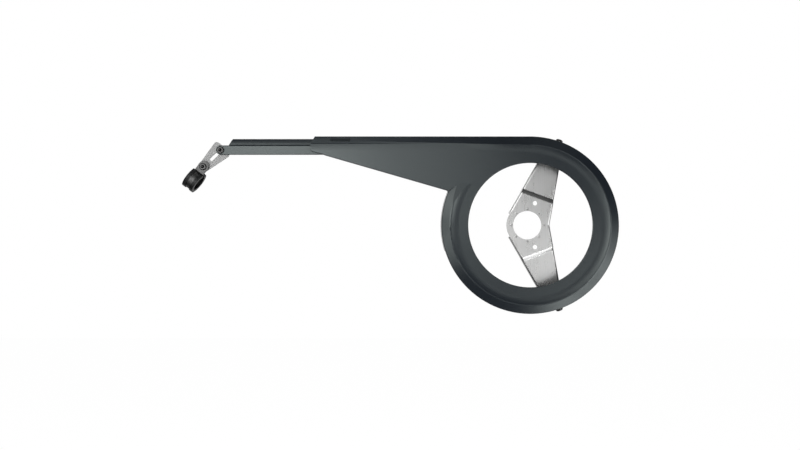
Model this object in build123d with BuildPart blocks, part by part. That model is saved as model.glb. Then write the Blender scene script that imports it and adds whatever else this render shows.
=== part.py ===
"""Chain guard for a bicycle: cover with ring and arm, sliding rear rail, bracket and chainstay clip.

Origin at the middle of the bottom bracket hole, on the face that seats on the frame.
+X points to the front of the bicycle, +Z up, and the outer side of the guard faces -Y.
"""

import os
from math import atan2, cos, hypot, pi, radians, sin, tan

from build123d import *

os.makedirs("parts", exist_ok=True)

# Cover: ring
rim_radius = 107.3
opening_radius = 75.0
wall = 2.3
face_y = -27.0
back_y = -3.0
band_run = 10.6
ridge_height = 2.0
rise_width = 10.5
band_angle = 23.0
edge_round = 1.4
crest_round = 3.0
lip_round = 0.8

# Cover: arm
arm_length = 265.3
arm_end_slant = 5.2
arm_tip_drop = 17.9
arm_tip_round = 5.0
arm_corner_in = 8.3
arm_corner_drop = 66.0
arm_edge_round = 0.8
arm_root_round = 2.2
horn_in = 22.8
horn_drop = 56.8
horn_round = 3.0
tuck_run = 12.0
tuck_drop = 8.0
crease_drop = 9.0
ridge_fade_run = 80.0
ridge_fade_low_z = 6.0
ridge_sink = 0.05
flange_depth = 8.0
roll_height = 7.5
roll_depth = 0.7
roll_end_x = -70.0
crease_groove = 0.6
crease_groove_rise = 0.3
label_length = 24.0
label_height = 3.4
label_from_end = 24.0
label_depth = 0.5

# Cover: way out for the lower chain run
exit_start = 197.0
exit_angle = 50.0
exit_round = 5.0

# Rail
rail_height = 19.4
rail_top_gap = 0.5
rail_wall = 2.0
rail_face_height = 11.3
rail_depth = 15.6
rail_bead_depth = 4.0
rail_bead_length = 94.2
rail_bead_slant = 4.8
rail_overlap = 96.0
rail_groove = 0.8
slide_gap = 0.4
rail_band_gap = 0.5

# Guide hooks for the rail
hook_length = 14.0
hook_wall = 1.8
hook_lip = 3.4
hook_pitch = 27.0
hook_from_end = 34.0

# Fasteners
screw_radius = 2.0
head_radius = 4.4
head_height = 2.6
rim_head_height = 4.3
socket_width = 4.4
socket_depth = 1.7
socket_point = 1.3
nut_width = 7.0
nut_height = 3.2
thread_end = 1.2
nut_corner_trim = 0.1
nut_trim_angle = 8.0
head_round_share = 0.5
washer_radius = 6.2
washer_height = 1.0
running_clearance = 0.05
seat_gap = 0.3

# Link
link_height = 2.0
link_angle = 43.8
link_reach = 29.0
link_end_radius = 6.25
link_spread = 10.4
link_length = 34.3
link_corner_round = 3.0
slot_start = 13.2
slot_spare = 0.6
tongue_overhang = 9.9
tongue_round = 5.6

# Chainstay clip
clip_angle = 52.4
clip_reach = 19.8
clip_bore = 19.0
liner_wall = 2.0
liner_lip = 1.0
liner_side = 1.2
lip_cover = 3.1
liner_front_gap = 29.0
liner_back_gap = 2.0
band_wall = 0.9
band_width = 12.3
ear_gap = 0.2
ear_overhang = 7.9
ear_set_back = 4.0
neck_round = 1.2
rubber_gap = 0.05

# Bracket
bracket_wall = 2.0
bottom_bracket_hole = 35.0
hub_radius = 25.7
arm_tilt = 20.0
arm_start = 6.2
arm_root_half_width = 27.7
arm_taper = 9.7
joggle_start = 36.0
joggle_length = 4.7
joggle_step = 2.2
bracket_flange = 5.0
bend_round = 1.5
flange_bend = 2.4
flange_end_gap = 9.0
tab_front_y = -19.0
screw_y = -13.0
side_hole = 5.6
side_hole_x = 9.6
side_hole_z = 27.1
tooth_count = 8
tooth_ring_radius = 20.0
tooth_radius = 1.6
tooth_height = 1.1
tooth_taper = 40.0
seat_flat_drop = 0.4
pad_height = 0.8
pad_width = 14.0

# Worked out from the sizes above
band_slope = tan(radians(band_angle))
ridge_radius = rim_radius - band_run
rise_foot = max(ridge_radius - rise_width, opening_radius + 2 * lip_round)
ridge_y = face_y - ridge_height
rim_edge_y = ridge_y + band_run * band_slope
crease_z = rim_radius - crease_drop
arm_corner_x = -(rim_radius - arm_corner_in)
arm_corner_z = rim_radius - arm_corner_drop
horn_x = -(rim_radius - horn_in)
horn_z = rim_radius - horn_drop
arm_tip_z = rim_radius - arm_tip_drop
arm_rise = (arm_tip_z - arm_corner_z) / (arm_length + arm_corner_x)
inner_face_y = face_y + wall
inner_top_z = rim_radius - wall
core_reach = rim_radius / 3

rail_top_z = inner_top_z - rail_top_gap
rail_low_z = rail_top_z - rail_height
rail_groove_z = rail_low_z + rail_face_height
bead_rise = rail_height - rail_face_height
band_way = Vector(0, -crease_drop, rim_edge_y - face_y).normalized()
bead_reach = hypot(rail_bead_depth * band_way.Y, bead_rise * band_way.Z)
bead_room = band_way.dot(Vector(0, face_y, crease_z)) - wall - rail_band_gap - bead_reach
bead_y = (bead_room - rail_groove_z * band_way.Z) / band_way.Y
rail_front_y = max(bead_y - rail_bead_depth, inner_face_y + slide_gap)
rail_back_y = rail_front_y + rail_wall
rail_end_x = -arm_length + rail_overlap
rail_bead_x = -arm_length - rail_bead_length
tongue_x = rail_bead_x - rail_bead_slant - tongue_overhang
tongue_z = rail_low_z + tongue_round

link_front_y = rail_back_y + seat_gap
link_back_y = link_front_y + link_height
nut_front_y = link_back_y + seat_gap
link_way = Vector(cos(radians(link_angle)), 0, sin(radians(link_angle)))
clip_x = tongue_x - link_reach * link_way.X
clip_z = tongue_z - link_reach * link_way.Z
slot_end = link_reach + slot_spare
slot_width = 2 * (screw_radius + running_clearance)

ear_back_y = link_front_y - seat_gap
ear_front_y = ear_back_y - ear_gap - 2 * band_wall
loop_y = (ear_front_y + ear_back_y) / 2 + ear_set_back
clip_way = Vector(-cos(radians(clip_angle)), 0, -sin(radians(clip_angle)))
clip_axis = Vector(sin(radians(clip_angle)), 0, -cos(radians(clip_angle)))
bore_radius = clip_bore / 2
band_inner = bore_radius + liner_wall
band_outer = band_inner + band_wall

tab_radius = inner_top_z - pad_height
head_seat = rim_radius - seat_flat_drop
tilt_way = Vector(sin(radians(arm_tilt)), 0, cos(radians(arm_tilt)))
bracket_front_y = -bracket_wall


def nearest(shape, x, y):
    """Corner of a sketch that lies nearest to a point."""
    return shape.vertices().sort_by_distance((x, y, 0))[0]


# Cover: the ring's section, solid for the outside and wider for the hollow
def draw_ring_section(reach):
    Polyline(
        (rise_foot, face_y),
        (opening_radius - reach, face_y),
        (opening_radius - reach, back_y + reach),
        (rim_radius, back_y + reach),
        (rim_radius, rim_edge_y),
        (ridge_radius, ridge_y),
    )
    TangentArc((rise_foot, face_y), (ridge_radius, ridge_y), tangent=(1, 0))


def ridge_fade(depth):
    """Block and wedge that plane the ridge down to the arm's face, with a slow ramp below the horn."""
    level = face_y + depth
    ramp = ridge_height + 1
    with BuildPart() as fade:
        with BuildSketch(Plane.YZ):
            with BuildLine():
                Polyline(
                    (level, rim_radius),
                    (level, horn_z),
                    (level - ramp, ridge_fade_low_z),
                    (level - ramp, rim_radius),
                    close=True,
                )
            make_face()
        extrude(amount=-2 * rim_radius)
    return fade.part


with BuildPart() as ring_form:
    with BuildSketch(Plane.XY) as ring_section:
        with BuildLine():
            draw_ring_section(0)
        make_face()
        fillet(nearest(ring_section, ridge_radius, ridge_y), crest_round)
        fillet(nearest(ring_section, rim_radius, rim_edge_y), edge_round)
        fillet(nearest(ring_section, opening_radius, face_y), lip_round)
    revolve(axis=Axis.Y)
    add(ridge_fade(0), mode=Mode.SUBTRACT)

with BuildPart() as ring_core:
    with BuildSketch(Plane.XY):
        with BuildLine():
            draw_ring_section(core_reach)
        make_face()
        offset(amount=-wall, kind=Kind.INTERSECTION)
    revolve(axis=Axis.Y)
    add(ridge_fade(wall), mode=Mode.SUBTRACT)


# Cover: the arm's outline as seen from outside
def draw_arm_plan(reach):
    Polyline(
        (0, rim_radius + reach),
        (-arm_length - reach, rim_radius + reach),
        (-arm_length - reach, arm_tip_z + reach * arm_rise),
        (arm_corner_x, arm_corner_z),
        (horn_x, horn_z),
        (arm_corner_x + tuck_run, arm_corner_z - tuck_drop),
        (0, arm_corner_z - tuck_drop),
        close=True,
    )


with BuildPart() as arm_form:
    with BuildSketch(Plane.YZ) as arm_section:
        with BuildLine():
            Polyline(
                (face_y, 0),
                (face_y, crease_z),
                (rim_edge_y, rim_radius),
                (back_y, rim_radius),
                (back_y, crease_z),
                (face_y + flange_depth, crease_z),
                (face_y + flange_depth, 0),
                close=True,
            )
        make_face()
        fillet(nearest(arm_section, rim_edge_y, rim_radius), edge_round)
    extrude(amount=-arm_length)
    with BuildSketch(Plane.XZ) as arm_plan:
        with BuildLine():
            draw_arm_plan(1)
        make_face()
        fillet(nearest(arm_plan, -arm_length - 1, arm_tip_z + arm_rise), arm_tip_round)
        fillet(nearest(arm_plan, horn_x, horn_z), horn_round)
        Circle(rise_foot, mode=Mode.SUBTRACT)
        # the band ends on a slant
        with BuildLine():
            Polyline(
                (-arm_length, crease_z),
                (-arm_length + arm_end_slant, rim_radius),
                (-arm_length + arm_end_slant, rim_radius + 1),
                (-arm_length - 1, rim_radius + 1),
                (-arm_length - 1, crease_z),
                close=True,
            )
        make_face(mode=Mode.SUBTRACT)
    extrude(amount=2 * rim_radius, both=True, mode=Mode.INTERSECT)
    # soft lower edge
    lower_edges = arm_form.faces().filter_by(Plane.XZ).sort_by(Axis.Y)[0].edges()
    lower_edges = lower_edges.filter_by(lambda edge: edge.center().Z < arm_tip_z and edge.center().X < horn_x)
    fillet(lower_edges, arm_edge_round)
    # rounded root, where the arm's lower edge meets the rim
    edge_way = Vector(1, -arm_rise).normalized()
    rim_way = Vector(-arm_corner_z, arm_corner_x).normalized()
    root_corner = Vector(arm_corner_x, arm_corner_z)
    root_reach = arm_root_round * tan(edge_way.get_angle(rim_way) / 2 * pi / 180)
    with BuildSketch(Plane.XZ.offset(-face_y - wall / 2)):
        with BuildLine():
            root_inset = 1 - wall / (2 * rim_radius)
            root_start = root_corner - edge_way * root_reach
            root_end = root_corner + rim_way * root_reach
            TangentArc(root_start, root_end, tangent=edge_way)
            Polyline(
                root_end,
                root_end * root_inset,
                root_corner * root_inset + Vector(0, wall / 2),
                root_start + Vector(0, wall / 2),
                root_start,
            )
        make_face()
    extrude(amount=-flange_depth + wall / 2)
    # the face rolls back towards the band at the rear, and the roll runs out before the ring
    roll_foot_z = crease_z - roll_height
    for x, depth in ((-arm_length - 1, roll_depth), (roll_end_x, ridge_sink)):
        with BuildSketch(Plane.YZ.offset(x)):
            with BuildLine():
                roll_top = (face_y + 4 * depth, roll_foot_z + 2 * roll_height)
                TangentArc((face_y, roll_foot_z), roll_top, tangent=(0, 1))
                Polyline(
                    roll_top,
                    (face_y - wall, roll_top[1]),
                    (face_y - wall, roll_foot_z),
                    (face_y, roll_foot_z),
                )
            make_face()
    loft(ruled=True, mode=Mode.SUBTRACT)
    # the ring's ridge runs on along the arm's top and sinks into its face
    ridge_start = (rise_foot, ridge_y, ridge_radius)
    ridge_end = (crease_z - rise_width, face_y + ridge_sink, crease_z)
    for x, (foot_z, crest_y, crest_z) in ((0, ridge_start), (-ridge_fade_run, ridge_end)):
        with BuildSketch(Plane.YZ.offset(x)) as ridge_section:
            with BuildLine():
                TangentArc((face_y + ridge_sink, foot_z), (crest_y + ridge_sink, crest_z), tangent=(0, 1))
                Polyline(
                    (crest_y + ridge_sink, crest_z),
                    (rim_edge_y + ridge_sink, rim_radius - ridge_sink),
                    (rim_edge_y + wall, rim_radius - ridge_sink),
                    (face_y + wall, foot_z),
                    (face_y + ridge_sink, foot_z),
                )
            make_face()
            fillet(nearest(ridge_section, rim_edge_y, rim_radius), edge_round)
    loft(ruled=True)

with BuildPart() as arm_core:
    with BuildSketch(Plane.YZ):
        with BuildLine():
            Polyline(
                (face_y, -core_reach),
                (face_y, crease_z),
                (rim_edge_y, rim_radius),
                (back_y + core_reach, rim_radius),
                (back_y + core_reach, -core_reach),
                close=True,
            )
        make_face()
        offset(amount=-wall, kind=Kind.INTERSECTION)
    extrude(amount=-arm_length - core_reach)
    with BuildSketch(Plane.XZ):
        with BuildLine():
            draw_arm_plan(core_reach)
        make_face()
        offset(amount=-wall, kind=Kind.INTERSECTION)
    extrude(amount=2 * rim_radius, both=True, mode=Mode.INTERSECT)

# Cover: way out through the rim for the lower run of the chain
with BuildPart() as chain_exit:
    exit_way = Vector(cos(radians(exit_start)), 0, sin(radians(exit_start)))
    with BuildSketch(Plane((0, 0, 0), x_dir=exit_way, z_dir=exit_way.cross(Vector(0, 1, 0)))):
        with Locations((rim_radius - 2 * wall, rim_edge_y + 2 * edge_round)):
            Rectangle(4 * wall, core_reach, align=(Align.MIN, Align.MIN))
    revolve(axis=Axis((0, 0, 0), (0, -1, 0)), revolution_arc=exit_angle)
    straight = chain_exit.edges().filter_by(GeomType.LINE)
    across = straight.filter_by(lambda edge: abs(edge.tangent_at(0.5).Y) < 0.1)
    fillet(across.group_by(Axis.Y)[0], exit_round)

# Cover: the rear mouth that the rail passes through
with BuildPart() as rail_mouth:
    mouth_length = (arm_tip_z - rail_low_z + 2 * slide_gap + 2 * wall) / arm_rise
    with BuildSketch(Plane.YZ.offset(-arm_length - 5)):
        with Locations((inner_face_y, rail_low_z - slide_gap)):
            Rectangle(core_reach, crease_z - rail_low_z, align=(Align.MIN, Align.MIN))
    extrude(amount=mouth_length + 5)


def hook(x):
    """Channel that carries the rail's lower edge and holds it against the face."""
    low_z = rail_low_z - slide_gap
    with BuildPart() as channel:
        with BuildSketch(Plane.YZ.offset(x - hook_length / 2)):
            with BuildLine():
                Polyline(
                    (inner_face_y - wall / 2, low_z - hook_wall),
                    (rail_back_y + slide_gap + hook_wall, low_z - hook_wall),
                    (rail_back_y + slide_gap + hook_wall, low_z + hook_lip),
                    (rail_back_y + slide_gap, low_z + hook_lip),
                    (rail_back_y + slide_gap, low_z),
                    (rail_front_y - slide_gap, low_z),
                    (rail_front_y - slide_gap, low_z + hook_lip),
                    (inner_face_y - wall / 2, low_z + hook_lip),
                    close=True,
                )
            make_face()
        extrude(amount=hook_length)
    return channel.part


def top_stop(x):
    """Rib under the arm's top that stops the rail from tipping inwards."""
    stop_y = rail_front_y + rail_depth + slide_gap
    with BuildPart() as stop:
        with BuildSketch(Plane.YZ.offset(x - hook_length / 2)):
            with Locations((stop_y, inner_top_z + wall / 2)):
                Rectangle(hook_wall, wall / 2 + hook_lip, align=(Align.MIN, Align.MAX))
        extrude(amount=hook_length)
    return stop.part


def rim_plane(sign, radius):
    """Plane square to a rim screw, its middle on the screw's axis and its normal outwards."""
    way = Vector(tilt_way.X, 0, sign * tilt_way.Z)
    return Plane(Vector(0, screw_y, 0) + way * radius, x_dir=(0, 1, 0), z_dir=way)


band_plane = Plane(
    origin=(0, (face_y + rim_edge_y) / 2, (crease_z + rim_radius) / 2),
    x_dir=(1, 0, 0),
    z_dir=band_way,
)

with BuildPart() as guard_cover:
    add(ring_form.part)
    add(arm_form.part)
    add(ring_core.part, mode=Mode.SUBTRACT)
    add(arm_core.part, mode=Mode.SUBTRACT)
    add(rail_mouth.part, mode=Mode.SUBTRACT)
    # fine groove between the arm's face and its band, running out before the ring
    with BuildSketch(Plane.YZ.offset(-arm_length - 1)):
        with Locations((face_y + roll_depth, crease_z + crease_groove_rise)):
            RegularPolygon(crease_groove, 4)
    groove_way = Vector(arm_length + arm_corner_x, -2 * crease_groove, -crease_groove_rise)
    extrude(amount=groove_way.length, dir=groove_way.normalized(), mode=Mode.SUBTRACT)
    # plain shallow panel on the band
    with BuildSketch(band_plane):
        with Locations((-arm_length + label_from_end + label_length / 2, 0)):
            RectangleRounded(label_length, label_height, label_height / 4)
    extrude(amount=-label_depth, mode=Mode.SUBTRACT)
    add(chain_exit.part, mode=Mode.SUBTRACT)
    # guides for the rail
    for step in range(2):
        add(hook(-arm_length + hook_from_end + step * hook_pitch))
        add(top_stop(-arm_length + hook_from_end + (step - 0.5) * hook_pitch))
    # seats and holes of the rim screws
    for sign in (1, -1):
        with BuildSketch(rim_plane(sign, tab_radius)):
            Rectangle(pad_width, pad_width)
        extrude(amount=pad_height + wall / 2)
        with BuildSketch(rim_plane(sign, head_seat)):
            Circle(head_radius + seat_gap)
        extrude(amount=wall, mode=Mode.SUBTRACT)
        with BuildSketch(rim_plane(sign, tab_radius - wall)):
            Circle(screw_radius + running_clearance)
        extrude(amount=4 * wall, mode=Mode.SUBTRACT)

# Rail: bead on top, flat face below, rounded tongue at the rear
with BuildPart() as extension_rail:
    with BuildSketch(Plane.YZ.offset(rail_end_x)) as rail_section:
        with BuildLine():
            bead_top = (rail_front_y + rail_bead_depth, rail_top_z)
            rail_rear = rail_front_y + rail_depth
            bead_middle = (bead_top[0], rail_groove_z)
            EllipticalCenterArc(bead_middle, rail_bead_depth, bead_rise, start_angle=90, arc_size=90)
            Polyline(
                bead_top,
                (rail_rear, rail_top_z),
                (rail_rear, rail_top_z - rail_wall),
                (bead_top[0], rail_top_z - rail_wall),
            )
            EllipticalCenterArc(
                bead_middle,
                rail_bead_depth - rail_wall,
                bead_rise - rail_wall,
                start_angle=90,
                arc_size=90,
            )
            Polyline(
                (rail_back_y, rail_groove_z),
                (rail_back_y, rail_low_z),
                (rail_front_y, rail_low_z),
                (rail_front_y, rail_groove_z),
            )
        make_face()
        with Locations((rail_front_y, rail_groove_z)):
            RegularPolygon(rail_groove, 4, mode=Mode.SUBTRACT)
        fillet(nearest(rail_section, rail_front_y, rail_low_z), rail_groove)
    extrude(amount=tongue_x - tongue_round - rail_end_x)
    # the bead ends on a slant and leaves the face as a tongue with a round end
    with BuildSketch(Plane.XZ) as tongue_plan:
        with BuildLine():
            Polyline(
                (rail_end_x, rail_low_z),
                (rail_end_x, rail_top_z),
                (rail_bead_x, rail_top_z),
                (rail_bead_x - rail_bead_slant, rail_groove_z),
                (tongue_x, rail_groove_z),
                (tongue_x - tongue_round, rail_groove_z),
                (tongue_x - tongue_round, rail_low_z),
                close=True,
            )
        make_face()
        fillet(nearest(tongue_plan, tongue_x - tongue_round, rail_low_z), tongue_round - 0.1)
        fillet(nearest(tongue_plan, tongue_x - tongue_round, rail_groove_z), tongue_round - 0.1)
    extrude(amount=2 * rim_radius, both=True, mode=Mode.INTERSECT)
    with BuildSketch(Plane.XZ):
        with Locations((tongue_x, tongue_z)):
            Circle(screw_radius + running_clearance)
    extrude(amount=rim_radius, both=True, mode=Mode.SUBTRACT)

# Link: narrow round end, sides that spread, curved wide end, slot along the middle
link_plane = Plane((clip_x, link_back_y, clip_z), x_dir=link_way, z_dir=(0, -1, 0))
with BuildPart() as slotted_link:
    with BuildSketch(link_plane) as link_plan:
        spread = radians(link_spread)
        side_x = -link_end_radius * sin(spread)
        side_z = link_end_radius * cos(spread)
        wide_x = link_length * cos(2 * spread)
        wide_z = side_z + (wide_x - side_x) * tan(spread)
        with BuildLine():
            ThreePointArc((side_x, side_z), (-link_end_radius, 0), (side_x, -side_z))
            Line((side_x, -side_z), (wide_x, -wide_z))
            ThreePointArc((wide_x, -wide_z), (link_length, 0), (wide_x, wide_z))
            Line((wide_x, wide_z), (side_x, side_z))
        make_face()
        fillet(nearest(link_plan, wide_x, wide_z), link_corner_round)
        fillet(nearest(link_plan, wide_x, -wide_z), link_corner_round)
        with Locations(((slot_start + slot_end) / 2, 0)):
            SlotCenterToCenter(slot_end - slot_start, slot_width, mode=Mode.SUBTRACT)
        Circle(screw_radius + running_clearance, mode=Mode.SUBTRACT)
    extrude(amount=link_height)

# Chainstay clip: steel band with two ears, in a rubber lining that laps over its edges
clip_plane = Plane((clip_x, 0, clip_z), x_dir=clip_way, z_dir=clip_axis)
with BuildPart() as clip_band:
    with BuildSketch(clip_plane) as band_section:
        with Locations((clip_reach, loop_y)):
            Circle(band_outer)
        with Locations((-ear_overhang, ear_front_y)):
            Rectangle(ear_overhang + clip_reach, ear_back_y - ear_front_y, align=(Align.MIN, Align.MIN))
        neck_x = clip_reach - (band_outer**2 - (loop_y - ear_front_y) ** 2) ** 0.5
        fillet(nearest(band_section, neck_x, ear_front_y), neck_round)
        neck_x = clip_reach - (band_outer**2 - (loop_y - ear_back_y) ** 2) ** 0.5
        fillet(nearest(band_section, neck_x, ear_back_y), neck_round)
        with Locations((clip_reach, loop_y)):
            Circle(band_inner, mode=Mode.SUBTRACT)
        with Locations((-2 * ear_overhang, (ear_front_y + ear_back_y) / 2)):
            Rectangle(
                2 * ear_overhang + clip_reach, ear_gap, align=(Align.MIN, Align.CENTER), mode=Mode.SUBTRACT
            )
    extrude(amount=band_width / 2, both=True)
    with BuildSketch(Plane((clip_x, 0, clip_z), x_dir=clip_way, z_dir=(0, -1, 0))):
        with Locations((band_width / 2 - ear_overhang, 0)):
            Circle(band_width / 2)
        with Locations((band_width / 2 - ear_overhang, 0)):
            Rectangle(4 * clip_reach, band_width, align=(Align.MIN, Align.CENTER))
        Circle(screw_radius + running_clearance, mode=Mode.SUBTRACT)
    extrude(amount=rim_radius, both=True, mode=Mode.INTERSECT)

loop_centre = Vector(clip_x, loop_y, clip_z) + clip_way * clip_reach
liner_start = -clip_way.rotate(Axis((0, 0, 0), clip_axis), liner_front_gap)
with BuildPart() as clip_liner:
    liner_plane = Plane(loop_centre, x_dir=liner_start, z_dir=liner_start.cross(clip_axis))
    with BuildSketch(liner_plane):
        half_width = band_width / 2 + rubber_gap + liner_side
        with Locations((bore_radius, 0)):
            Rectangle(
                band_outer + liner_lip - bore_radius, 2 * half_width, align=(Align.MIN, Align.CENTER)
            )
        with Locations((band_inner, 0)):
            Rectangle(
                band_wall + rubber_gap,
                band_width + 2 * rubber_gap,
                align=(Align.MIN, Align.CENTER),
                mode=Mode.SUBTRACT,
            )
        with Locations((band_inner, 0)):
            Rectangle(
                2 * liner_wall,
                band_width - 2 * lip_cover,
                align=(Align.MIN, Align.CENTER),
                mode=Mode.SUBTRACT,
            )
    revolve(axis=Axis(loop_centre, clip_axis), revolution_arc=360 - liner_front_gap - liner_back_gap)


# Fasteners
def socket_screw(seat, length, height):
    """Round-headed screw with a hexagon socket; its head stands on the plane and its shank goes below."""
    with BuildPart() as screw:
        with BuildSketch(seat):
            Circle(head_radius)
        extrude(amount=height)
        fillet(screw.faces().sort_by(Axis(seat.origin, seat.z_dir))[-1].edges(), head_round_share * height)
        with BuildSketch(seat):
            Circle(screw_radius)
        extrude(amount=-length)
        with BuildSketch(seat.offset(height)):
            RegularPolygon(socket_width / 2, 6, major_radius=False)
        extrude(amount=-socket_depth, mode=Mode.SUBTRACT)
        # drill point in the socket's floor
        with Locations(seat.offset(height - socket_depth)):
            Cone(
                0,
                socket_width / 2,
                socket_point,
                align=(Align.CENTER, Align.CENTER, Align.MAX),
                mode=Mode.SUBTRACT,
            )
    return screw


def hex_nut(seat):
    """Hexagon nut that stands on the plane, with its outer corners turned off."""
    with BuildPart() as nut:
        with BuildSketch(seat):
            RegularPolygon(nut_width / 2, 6, major_radius=False)
        extrude(amount=nut_height)
        with BuildSketch(seat):
            Circle(nut_width / 3**0.5 - nut_corner_trim)
        extrude(amount=nut_height, taper=nut_trim_angle, mode=Mode.INTERSECT)
        with BuildSketch(seat):
            Circle(screw_radius)
        extrude(amount=nut_height, mode=Mode.SUBTRACT)
    return nut


def facing(x, y, z, sign):
    """Plane across the guard, its normal to the outside for sign -1 and to the inside for +1."""
    return Plane((x, y, z), x_dir=(1, 0, 0), z_dir=(0, sign, 0))


link_head_y = rail_front_y - seat_gap
shank_end_y = nut_front_y + nut_height + thread_end
link_seat = facing(tongue_x, link_head_y, tongue_z, -1)
link_screw = socket_screw(link_seat, shank_end_y - link_head_y, head_height)
link_nut = hex_nut(facing(tongue_x, nut_front_y, tongue_z, 1))

clip_head_y = ear_front_y - washer_height
clip_screw = socket_screw(facing(clip_x, clip_head_y, clip_z, -1), shank_end_y - clip_head_y, head_height)
clip_nut = hex_nut(facing(clip_x, nut_front_y, clip_z, 1))
with BuildPart() as clip_washer:
    with BuildSketch(facing(clip_x, ear_front_y, clip_z, -1)):
        Circle(washer_radius)
        Circle(screw_radius + running_clearance, mode=Mode.SUBTRACT)
    extrude(amount=washer_height)

rim_shank = head_seat - tab_radius + bracket_wall + nut_height + thread_end
rim_screws = [socket_screw(rim_plane(sign, head_seat), rim_shank, rim_head_height) for sign in (1, -1)]
rim_nuts = []
for sign in (1, -1):
    outward = rim_plane(sign, tab_radius - bracket_wall)
    rim_nuts.append(hex_nut(Plane(outward.origin, x_dir=outward.x_dir, z_dir=-outward.z_dir)))

# Bracket: the upper arm is made along its own line, then mirrored
arm_plane = Plane((0, 0, 0), x_dir=tilt_way, z_dir=(0, -1, 0))
arm_side_plane = Plane((0, 0, 0), x_dir=tilt_way, z_dir=tilt_way.cross(Vector(0, 1, 0)))
joggle_angle = atan2(joggle_step, joggle_length)


def arm_half_width(along):
    return arm_root_half_width - along * tan(radians(arm_taper))


def draw_sheet(front, back, start, end):
    """Side view of the joggled sheet between two depths behind its front face."""
    lean = tan(joggle_angle / 2)
    low = bracket_front_y
    high = bracket_front_y + joggle_step
    first = joggle_start
    last = joggle_start + joggle_length
    Polyline(
        (start, low + front),
        (first - front * lean, low + front),
        (last - front * lean, high + front),
        (end, high + front),
        (end, high + back),
        (last - back * lean, high + back),
        (first - back * lean, low + back),
        (start, low + back),
        close=True,
    )


def draw_arm(inset, start, end):
    Polyline(
        (start, arm_half_width(start) - inset),
        (end, arm_half_width(end) - inset),
        (end, -arm_half_width(end) + inset),
        (start, -arm_half_width(start) + inset),
        close=True,
    )


with BuildPart() as bracket_arm:
    with BuildSketch(arm_side_plane) as arm_side:
        with BuildLine():
            draw_sheet(0, bracket_wall + bracket_flange, arm_start, tab_radius - flange_end_gap)
        make_face()
        fillet(nearest(arm_side, joggle_start, bracket_front_y), bend_round + bracket_wall)
        fillet(nearest(arm_side, joggle_start + joggle_length, bracket_front_y + joggle_step), bend_round)
    extrude(amount=rim_radius, both=True)
    with BuildSketch(arm_plane):
        with BuildLine():
            draw_arm(0, arm_start, tab_radius)
        make_face()
    extrude(amount=rim_radius, both=True, mode=Mode.INTERSECT)
    # the flanges are bent back from the sheet's long edges
    long_sides = bracket_arm.faces().filter_by(
        lambda face: abs(face.normal_at().Y) < 0.01 and abs(face.normal_at().dot(tilt_way)) < 0.5
    )
    front_level = bracket_front_y + joggle_step + bend_round / 2
    bends = long_sides.edges().filter_by(
        lambda edge: edge.center().Y < front_level and abs(edge.tangent_at(0.5).Y) < 0.9
    )
    fillet(bends, flange_bend)

with BuildPart() as bracket_hollow:
    with BuildSketch(arm_side_plane) as hollow_side:
        with BuildLine():
            draw_sheet(bracket_wall, 4 * bracket_flange, -core_reach, rim_radius)
        make_face()
        lean = bracket_wall * tan(joggle_angle / 2)
        fillet(nearest(hollow_side, joggle_start - lean, 0), bend_round)
        bend_far = joggle_start + joggle_length - lean
        fillet(nearest(hollow_side, bend_far, joggle_step), bend_round + bracket_wall)
    extrude(amount=rim_radius, both=True)
    with BuildSketch(arm_plane):
        with BuildLine():
            draw_arm(bracket_wall, -core_reach, rim_radius)
        make_face()
    extrude(amount=rim_radius, both=True, mode=Mode.INTERSECT)

with BuildPart() as bracket_tab:
    with BuildSketch(arm_side_plane) as tab_section:
        arm_front_y = bracket_front_y + joggle_step
        with BuildLine():
            Polyline(
                (tab_radius - flange_end_gap, arm_front_y),
                (tab_radius - bracket_wall, arm_front_y),
                (tab_radius - bracket_wall, tab_front_y),
                (tab_radius, tab_front_y),
                (tab_radius, arm_front_y + bracket_wall),
                (tab_radius - flange_end_gap, arm_front_y + bracket_wall),
                close=True,
            )
        make_face()
        fillet(nearest(tab_section, tab_radius - bracket_wall, arm_front_y), bend_round)
        fillet(nearest(tab_section, tab_radius, arm_front_y + bracket_wall), bend_round + bracket_wall)
    extrude(amount=rim_radius, both=True)
    with BuildSketch(arm_plane):
        with BuildLine():
            draw_arm(0, arm_start, rim_radius)
        make_face()
    extrude(amount=rim_radius, both=True, mode=Mode.INTERSECT)
    with BuildSketch(rim_plane(1, tab_radius - 2 * bracket_wall)):
        Circle(screw_radius + running_clearance)
    extrude(amount=4 * bracket_wall, mode=Mode.SUBTRACT)

with BuildPart() as bottom_bracket_plate:
    add(bracket_arm.part)
    add(bracket_hollow.part, mode=Mode.SUBTRACT)
    add(bracket_tab.part)
    mirror(about=Plane.XY)
    with BuildSketch(Plane.XZ):
        Circle(hub_radius)
    extrude(amount=bracket_wall)
    # no flange behind the hub's front edge, where the two arms meet
    with Locations((hub_radius, 0, 0)):
        Box(
            2 * hub_radius,
            4 * bracket_flange,
            2 * side_hole_z,
            align=(Align.CENTER, Align.MIN, Align.CENTER),
            mode=Mode.SUBTRACT,
        )
    with BuildSketch(Plane.XZ.offset(-bracket_wall)):
        Circle(bottom_bracket_hole / 2)
        with Locations((side_hole_x, side_hole_z), (side_hole_x, -side_hole_z)):
            Circle(side_hole / 2)
    extrude(amount=3 * bracket_wall, mode=Mode.SUBTRACT)
    # punched teeth round the hole: dimples in front, points behind
    with BuildSketch(Plane.XZ):
        with PolarLocations(tooth_ring_radius, tooth_count):
            Circle(tooth_radius)
    extrude(amount=-tooth_height, taper=tooth_taper)
    with BuildSketch(Plane.XZ.offset(bracket_wall)):
        with PolarLocations(tooth_ring_radius, tooth_count):
            Circle(tooth_radius)
    extrude(amount=-tooth_height, taper=tooth_taper, mode=Mode.SUBTRACT)

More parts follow.
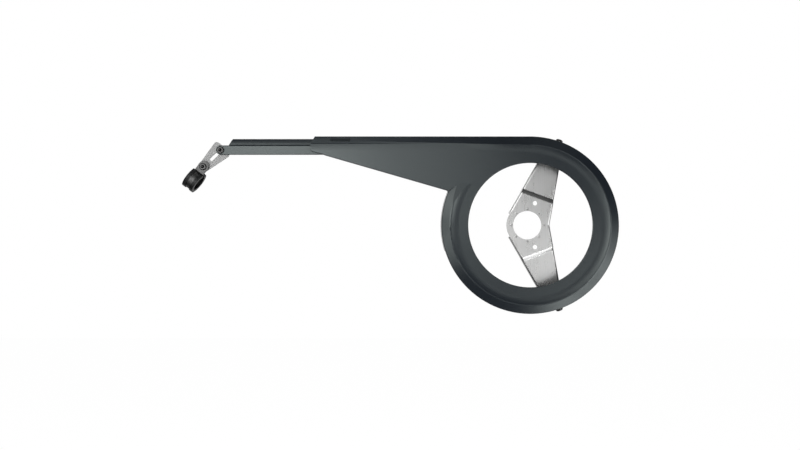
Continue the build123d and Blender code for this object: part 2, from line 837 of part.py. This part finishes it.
pieces = {
    "guard_cover": guard_cover,
    "extension_rail": extension_rail,
    "bottom_bracket_plate": bottom_bracket_plate,
    "rim_screw_upper": rim_screws[0],
    "rim_screw_lower": rim_screws[1],
    "rim_nut_upper": rim_nuts[0],
    "rim_nut_lower": rim_nuts[1],
    "slotted_link": slotted_link,
    "link_screw": link_screw,
    "link_nut": link_nut,
    "clip_band": clip_band,
    "clip_liner": clip_liner,
    "clip_screw": clip_screw,
    "clip_washer": clip_washer,
    "clip_nut": clip_nut,
}
for name, piece in pieces.items():
    piece.part.label = name
    export_step(piece.part, f"parts/{name}.step")
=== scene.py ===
"""Looks of the bicycle chain guard: moulded plastic, plated steel, black screws and rubber."""

from math import cos, radians, sin

import bpy
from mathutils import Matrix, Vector

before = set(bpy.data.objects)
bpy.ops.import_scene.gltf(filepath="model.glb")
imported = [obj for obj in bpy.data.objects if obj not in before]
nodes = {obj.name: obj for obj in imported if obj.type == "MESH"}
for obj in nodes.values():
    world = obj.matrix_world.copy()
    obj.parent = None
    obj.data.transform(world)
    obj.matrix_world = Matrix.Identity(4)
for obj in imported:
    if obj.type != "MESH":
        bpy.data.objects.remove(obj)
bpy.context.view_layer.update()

MM = 0.001

# Camera, as the photograph was taken
CAMERA_PLACE = Vector((-157.3, -977.0, 0.2)) * MM
CAMERA_LENS = 35.5
CAMERA_SENSOR = 36.0
CAMERA_NEAREST = 10 * MM

# Floor far below the guard: its glow grows away from the middle, and behind it in mirror images
FLOOR_LEVEL = -1000 * MM
FLOOR_SIZE = 12.0
FLOOR_PAINT = 0.2
FLOOR_GLOW = 0.98
FLOOR_NEAR_GLOW = 0.78
FLOOR_NEAR, FLOOR_FAR = 0.6, 2.4
FLOOR_MIRROR_GLOW = 0.03
FLOOR_BACK_START, FLOOR_BACK_END = 0.3, 1.5

# Room: dim, with a white backdrop on the far side of the guard
ROOM_LIGHT = 0.06
BACKDROP_START, BACKDROP_END = 0.3, 0.7

# Softboxes
STUDIO_MIDDLE = Vector((-100, 0, 30)) * MM
SOFTBOXES = {
    # name: azimuth to the right of the camera's side, elevation, distance, width, watts
    "softbox_front": (-4, 6, 1.3, 0.6, 2.7),
    "softbox_left": (-22, 0, 1.3, 0.5, 5.0),
    "softbox_left_upper": (-22, 14, 1.3, 0.5, 1.4),
    "softbox_left_high": (-22, 30, 1.3, 0.5, 0.75),
    "softbox_left_top": (-22, 50, 1.3, 0.5, 0.65),
    "softbox_far_left": (-42, 14, 1.3, 0.5, 3.0),
    "softbox_far_left_lower": (-42, -14, 1.3, 0.5, 2.4),
    "softbox_top": (0, 88, 1.3, 0.7, 2.5),
    "softbox_right_lower": (24, -12, 1.3, 0.5, 1.2),
    "softbox_far_right_lower": (42, -14, 1.3, 0.5, 4.7),
    "softbox_side": (70, -14, 1.3, 0.5, 1.55),
    "softbox_side_lower": (70, -28, 1.3, 0.5, 2.7),
    "softbox_side_low": (72, -45, 1.05, 0.5, 2.4),
    "softbox_low": (38, -40, 1.05, 0.4, 2.2),
    "softbox_high_right": (39, 43, 1.03, 0.45, 0.14),
    "softbox_rear_left": (-145, 22, 1.4, 0.8, 5.0),
    "softbox_rear_right": (145, 22, 1.4, 0.8, 5.0),
}

# Dark plastic, with the bare panel on the arm
PLASTIC_LEVEL = 0.0085
PLASTIC_TINT = (0.74, 1.0, 1.45)
PLASTIC_GLOSS_TINT = (0.905, 1.0, 0.97, 1.0)
PLASTIC_ROUGHNESS = 0.3
COVER_GLOSS = 0.5
RAIL_GLOSS = 0.45
PLASTIC_RELIEF = 0.02 * MM
PANEL_MIDDLE = Vector((-229.3, -25.8, 102.8)) * MM
PANEL_HALF = Vector((12.2, 3.0, 1.9)) * MM
PANEL_BORDER = 0.4 * MM
PANEL_GLOSS_DROP = 0.22

# Plated steel
STEEL_DULL_TINT = (1, 1, 0.985)
STEEL_BRIGHT_TINT = (0.995, 1, 1)
STEEL_MARK_TINT = (1, 0.99, 0.97)
STEEL_RELIEF = 0.002 * MM
LINK_ANGLE = 43.8
CLIP_ANGLE = 52.4
STEELS = {
    # name: level, roughness, turn of the rolling lines, their depth, pieces
    "bracket_plate_steel": (0.49, 0.28, (0, 0, 0), 0.05, ["bottom_bracket_plate"]),
    "link_steel": (0.2, 0.55, (0, LINK_ANGLE - 90, 0), 0.08, ["slotted_link"]),
    "clip_band_steel": (0.058, 0.44, (0, CLIP_ANGLE, 0), 0.1, ["clip_band"]),
    "washer_steel": (0.065, 0.42, (0, 0, 0), 0.1, ["clip_washer"]),
    "nut_steel": (
        0.5, 0.4, (0, 0, 0), 0.1, ["rim_nut_upper", "rim_nut_lower", "link_nut", "clip_nut"]
    ),
}

# Black screws
SCREW_DARK = 0.004
SCREW_PALE = 0.008
SCREW_PALE_TINT = (1, 1, 1.04)
SCREW_RUBBED = 0.035
SCREW_RUBBED_TINT = (1, 0.98, 0.95)
SCREW_GLOSS = 0.4
SCREW_RELIEF = 0.01 * MM

# Rubber
RUBBER_DARK = 0.003
RUBBER_DARK_TINT = (0.9, 1, 1.1)
RUBBER_PALE = 0.006
RUBBER_PALE_TINT = (0.92, 1, 1.08)
RUBBER_ROUGHNESS = 0.46
RUBBER_GLOSS = 0.25
RUBBER_RELIEF = 0.03 * MM

# A noise's usual range, and its middle
NOISE_LOW, NOISE_HIGH = 0.3, 0.7
NOISE_MIDDLE = 0.5


class Value:
    """A number on a shader socket; sums and products of values become Math nodes."""

    def __init__(self, finish, socket):
        self.finish = finish
        self.socket = socket

    def math(self, operation, first, second):
        return self.finish.node("ShaderNodeMath", {"operation": operation}, {0: first, 1: second})

    def __add__(self, other):
        return self.math("ADD", self, other)

    __radd__ = __add__

    def __sub__(self, other):
        return self.math("SUBTRACT", self, other)

    def __rsub__(self, other):
        return self.math("SUBTRACT", other, self)

    def __mul__(self, other):
        return self.math("MULTIPLY", self, other)

    __rmul__ = __mul__


class Finish:
    """A finish under construction on a material or the world; node() adds any shader node."""

    def __init__(self, owner):
        owner.use_nodes = True
        self.owner = owner
        self.tree = owner.node_tree
        self.tree.nodes.clear()

    def node(self, kind, settings=None, inputs=None, output=0):
        made = self.tree.nodes.new(kind)
        for key, value in (settings or {}).items():
            setattr(made, key, value)
        for key, value in (inputs or {}).items():
            if isinstance(value, Value):
                self.tree.links.new(value.socket, made.inputs[key])
            else:
                made.inputs[key].default_value = value
        return Value(self, made.outputs[output]) if made.outputs else None

    def place(self, turn=(0, 0, 0)):
        """Object coordinates in metres, turned by degrees."""
        coordinate = self.node("ShaderNodeTexCoord", output="Object")
        turned = tuple(radians(angle) for angle in turn)
        return self.node("ShaderNodeMapping", None, {"Vector": coordinate, "Rotation": turned})

    def along(self, axis):
        return self.node("ShaderNodeSeparateXYZ", None, {0: self.place()}, output=axis)

    def noise(self, scale, detail=2.0, stretch=(1, 1, 1), turn=(0, 0, 0), roughness=0.5):
        straight = self.place(turn)
        pulled = self.node("ShaderNodeMapping", None, {"Vector": straight, "Scale": stretch})
        inputs = {"Vector": pulled, "Scale": scale, "Detail": detail, "Roughness": roughness}
        return self.node("ShaderNodeTexNoise", None, inputs)

    def ramp(self, value, low, high, start=0.0, end=1.0):
        inputs = {"Value": value, "From Min": low, "From Max": high, "To Min": start, "To Max": end}
        return self.node("ShaderNodeMapRange", {"clamp": True}, inputs)

    def spread(self, noise, start=0.0, end=1.0):
        """A noise's usual range, stretched from start to end."""
        return self.ramp(noise, NOISE_LOW, NOISE_HIGH, start, end)

    def near(self, middle, half, soft):
        """One inside a box of the guard and zero outside, with a soft border."""
        mask = 1
        for axis, centre, reach in zip("XYZ", middle, half):
            offset = self.along(axis) - centre
            off = self.node("ShaderNodeMath", {"operation": "ABSOLUTE"}, {0: offset})
            mask = mask * self.ramp(off, reach - soft, reach, 1, 0)
        return mask

    def mix(self, factor, first, second):
        inputs = {0: factor, 6: first, 7: second}
        return self.node("ShaderNodeMix", {"data_type": "RGBA"}, inputs, output=2)

    def bump(self, height, distance, strength, under=None):
        inputs = {"Height": height, "Distance": distance, "Strength": strength}
        if under:
            inputs["Normal"] = under
        return self.node("ShaderNodeBump", None, inputs)

    def ray(self, kind):
        return self.node("ShaderNodeLightPath", output=f"Is {kind} Ray")

    def mirrored(self):
        """One for rays that left a mirror-like or clear surface."""
        return self.ray("Glossy") + self.ray("Transmission")

    def surface(self, **inputs):
        names = {}
        for key, value in inputs.items():
            names[key.replace("_", " ").title().replace("Ior", "IOR")] = value
        shader = self.node("ShaderNodeBsdfPrincipled", None, names)
        self.node("ShaderNodeOutputMaterial", None, {"Surface": shader})
        return self.owner


def grey(level, tint=(1, 1, 1)):
    return tuple(level * share for share in tint) + (1.0,)


def moulded_plastic(name, gloss):
    """Dark satin plastic: eroded grain, faint flow clouds, hairline scuffs and a darker panel."""

    def shade(share):
        return grey(PLASTIC_LEVEL * share, PLASTIC_TINT)

    finish = Finish(bpy.data.materials.new(name))
    grain = finish.noise(scale=1500.0, detail=3.0, roughness=0.65)
    peel = finish.noise(scale=110.0)
    cloud = finish.noise(scale=9.0, detail=3.0, stretch=(0.5, 1, 1.6))
    scuff_lines = finish.noise(scale=26.0, detail=3.0, stretch=(1, 30, 45), turn=(0, 11, 0))
    scuff_patch = finish.noise(scale=17.0)
    scuff = finish.ramp(scuff_lines, 0.66, 0.74) * finish.ramp(scuff_patch, 0.5, 0.66)
    panel = finish.near(PANEL_MIDDLE, PANEL_HALF, PANEL_BORDER)
    tone = finish.spread(cloud) * 0.7 + finish.spread(grain) * 0.3
    colour = finish.mix(tone, shade(0.9), shade(1.1))
    colour = finish.mix(scuff * 0.4, colour, shade(2.2))
    colour = finish.mix(panel * 0.8, colour, shade(0.5))
    rough = finish.spread(cloud, PLASTIC_ROUGHNESS - 0.02, PLASTIC_ROUGHNESS + 0.02)
    rough = rough + scuff * 0.06 + (grain - NOISE_MIDDLE) * 0.06 - panel * 0.06
    relief = finish.bump(peel, PLASTIC_RELIEF, strength=0.15)
    relief = finish.bump(grain, PLASTIC_RELIEF, strength=0.35, under=relief)
    return finish.surface(
        base_color=colour,
        roughness=rough,
        normal=relief,
        specular_ior_level=gloss - panel * PANEL_GLOSS_DROP,
        specular_tint=PLASTIC_GLOSS_TINT,
    )


def plated_steel(name, level, roughness, turn, line_depth):
    """Zinc-plated sheet: rolling lines along the turned Z axis, cloudy plating, dull marks."""
    finish = Finish(bpy.data.materials.new(name))
    lines = finish.noise(scale=900.0, detail=3.0, stretch=(1, 1, 0.02), turn=turn)
    fine = finish.noise(scale=3200.0, stretch=(1, 1, 0.05), turn=turn)
    speckle = finish.noise(scale=1300.0, roughness=0.7)
    cloud = finish.noise(scale=45.0, detail=4.0)
    marks = finish.ramp(finish.noise(scale=24.0, detail=3.0), 0.52, 0.68)
    tone = finish.spread(lines) * 0.4 + finish.spread(cloud) * 0.3 + finish.spread(speckle) * 0.3
    dull = grey(level * 0.9, STEEL_DULL_TINT)
    bright = grey(level * 1.08, STEEL_BRIGHT_TINT)
    colour = finish.mix(tone, dull, bright)
    colour = finish.mix(marks * 0.25, colour, grey(level * 0.85, STEEL_MARK_TINT))
    rough = roughness + (lines - NOISE_MIDDLE) * 0.04 + (cloud - NOISE_MIDDLE) * 0.05 + marks * 0.03
    relief = finish.bump(speckle, STEEL_RELIEF, strength=0.03)
    relief = finish.bump(lines + fine * 0.4, STEEL_RELIEF, strength=line_depth, under=relief)
    return finish.surface(base_color=colour, metallic=1.0, roughness=rough, normal=relief)


def black_screw(name):
    """Black coated steel, rubbed to a dull grey in spots, with a fine coating grain."""
    finish = Finish(bpy.data.materials.new(name))
    grain = finish.noise(scale=1700.0, detail=3.0, roughness=0.6)
    rub = finish.ramp(finish.noise(scale=420.0, detail=4.0, roughness=0.6), 0.56, 0.7)
    pale = grey(SCREW_PALE, SCREW_PALE_TINT)
    colour = finish.mix(finish.spread(grain), grey(SCREW_DARK), pale)
    colour = finish.mix(rub * 0.5, colour, grey(SCREW_RUBBED, SCREW_RUBBED_TINT))
    return finish.surface(
        base_color=colour,
        metallic=rub * 0.4,
        roughness=finish.spread(grain, 0.18, 0.26) + rub * 0.08,
        specular_ior_level=SCREW_GLOSS,
        normal=finish.bump(grain, SCREW_RELIEF, strength=0.3),
    )


def clip_rubber(name):
    """Matt black rubber with a fine pebbled skin and a greyish bloom in patches."""
    finish = Finish(bpy.data.materials.new(name))
    pebble = finish.noise(scale=2100.0)
    bloom = finish.ramp(finish.noise(scale=130.0, detail=4.0), 0.45, 0.7)
    dark = grey(RUBBER_DARK, RUBBER_DARK_TINT)
    pale = grey(RUBBER_PALE, RUBBER_PALE_TINT)
    return finish.surface(
        base_color=finish.mix(bloom, dark, pale),
        roughness=RUBBER_ROUGHNESS + bloom * 0.14 + (pebble - NOISE_MIDDLE) * 0.1,
        specular_ior_level=RUBBER_GLOSS,
        normal=finish.bump(pebble, RUBBER_RELIEF, strength=0.4),
    )


def dress(material, *names):
    for name in names:
        nodes[name].data.materials.clear()
        nodes[name].data.materials.append(material)


dress(moulded_plastic("cover_plastic", COVER_GLOSS), "guard_cover")
dress(moulded_plastic("rail_plastic", RAIL_GLOSS), "extension_rail")
for name, (*look, pieces) in STEELS.items():
    dress(plated_steel(name, *look), *pieces)
dress(
    black_screw("screw_black"), "rim_screw_upper", "rim_screw_lower", "link_screw", "clip_screw"
)
dress(clip_rubber("liner_rubber"), "clip_liner")


def lay_floor():
    """Pale floor, white to the camera and in mirror images from behind, with the guard's shade."""
    bpy.ops.mesh.primitive_plane_add(size=FLOOR_SIZE, location=(0, 0, FLOOR_LEVEL))
    floor = bpy.context.object
    floor.name = "floor"
    finish = Finish(bpy.data.materials.new("pale_floor"))
    out = finish.node(
        "ShaderNodeVectorMath", {"operation": "LENGTH"}, {0: finish.place()}, output="Value"
    )
    open_floor = finish.ramp(out, FLOOR_NEAR, FLOOR_FAR, FLOOR_NEAR_GLOW, FLOOR_GLOW)
    behind = finish.ramp(
        finish.along("Y"), FLOOR_BACK_START, FLOOR_BACK_END, FLOOR_MIRROR_GLOW, FLOOR_GLOW
    )
    strength = finish.ray("Camera") * open_floor + finish.mirrored() * behind
    glow = finish.node("ShaderNodeEmission", None, {"Strength": strength})
    paint = finish.node("ShaderNodeBsdfDiffuse", None, {"Color": grey(FLOOR_PAINT)})
    both = finish.node("ShaderNodeAddShader", None, {0: glow, 1: paint})
    finish.node("ShaderNodeOutputMaterial", None, {"Surface": both})
    floor.data.materials.append(finish.owner)


def paint_walls():
    """White to the camera and, on the backdrop's side, in mirror images; dim for other light."""
    bpy.context.scene.world = bpy.data.worlds.new("studio")
    room = Finish(bpy.context.scene.world)
    way = room.node("ShaderNodeTexCoord", output="Generated")
    back = room.node("ShaderNodeSeparateXYZ", None, {0: way}, output="Y")
    behind = room.ramp(back, BACKDROP_START, BACKDROP_END)
    seen = room.ray("Camera")
    backdrop = room.mirrored() * behind
    strength = seen + (1 - seen) * ROOM_LIGHT + backdrop * (1 - ROOM_LIGHT)
    inputs = {"Color": grey(1.0), "Strength": strength}
    light = room.node("ShaderNodeBackground", None, inputs)
    room.node("ShaderNodeOutputWorld", None, {"Surface": light})


def hang_softbox(name, azimuth, elevation, distance, width, watts):
    """Square area lamp that faces the guard and stays out of the picture."""
    flat = cos(radians(elevation))
    side = sin(radians(azimuth)) * flat
    front = cos(radians(azimuth)) * flat
    way = Vector((side, -front, sin(radians(elevation))))
    lamp = bpy.data.objects.new(name, bpy.data.lights.new(name, "AREA"))
    lamp.data.size = width
    lamp.data.energy = watts
    lamp.location = STUDIO_MIDDLE + way * distance
    lamp.rotation_euler = (-way).to_track_quat("-Z", "Y").to_euler()
    lamp.visible_camera = False
    bpy.context.scene.collection.objects.link(lamp)


def set_camera():
    camera = bpy.data.objects.new("camera", bpy.data.cameras.new("camera"))
    bpy.context.scene.collection.objects.link(camera)
    camera.location = CAMERA_PLACE
    camera.rotation_euler = (radians(90), 0, 0)
    camera.data.lens = CAMERA_LENS
    camera.data.sensor_width = CAMERA_SENSOR
    camera.data.clip_start = CAMERA_NEAREST
    bpy.context.scene.camera = camera


lay_floor()
paint_walls()
for name, box in SOFTBOXES.items():
    hang_softbox(name, *box)
set_camera()
bpy.context.scene.view_settings.view_transform = "Standard"
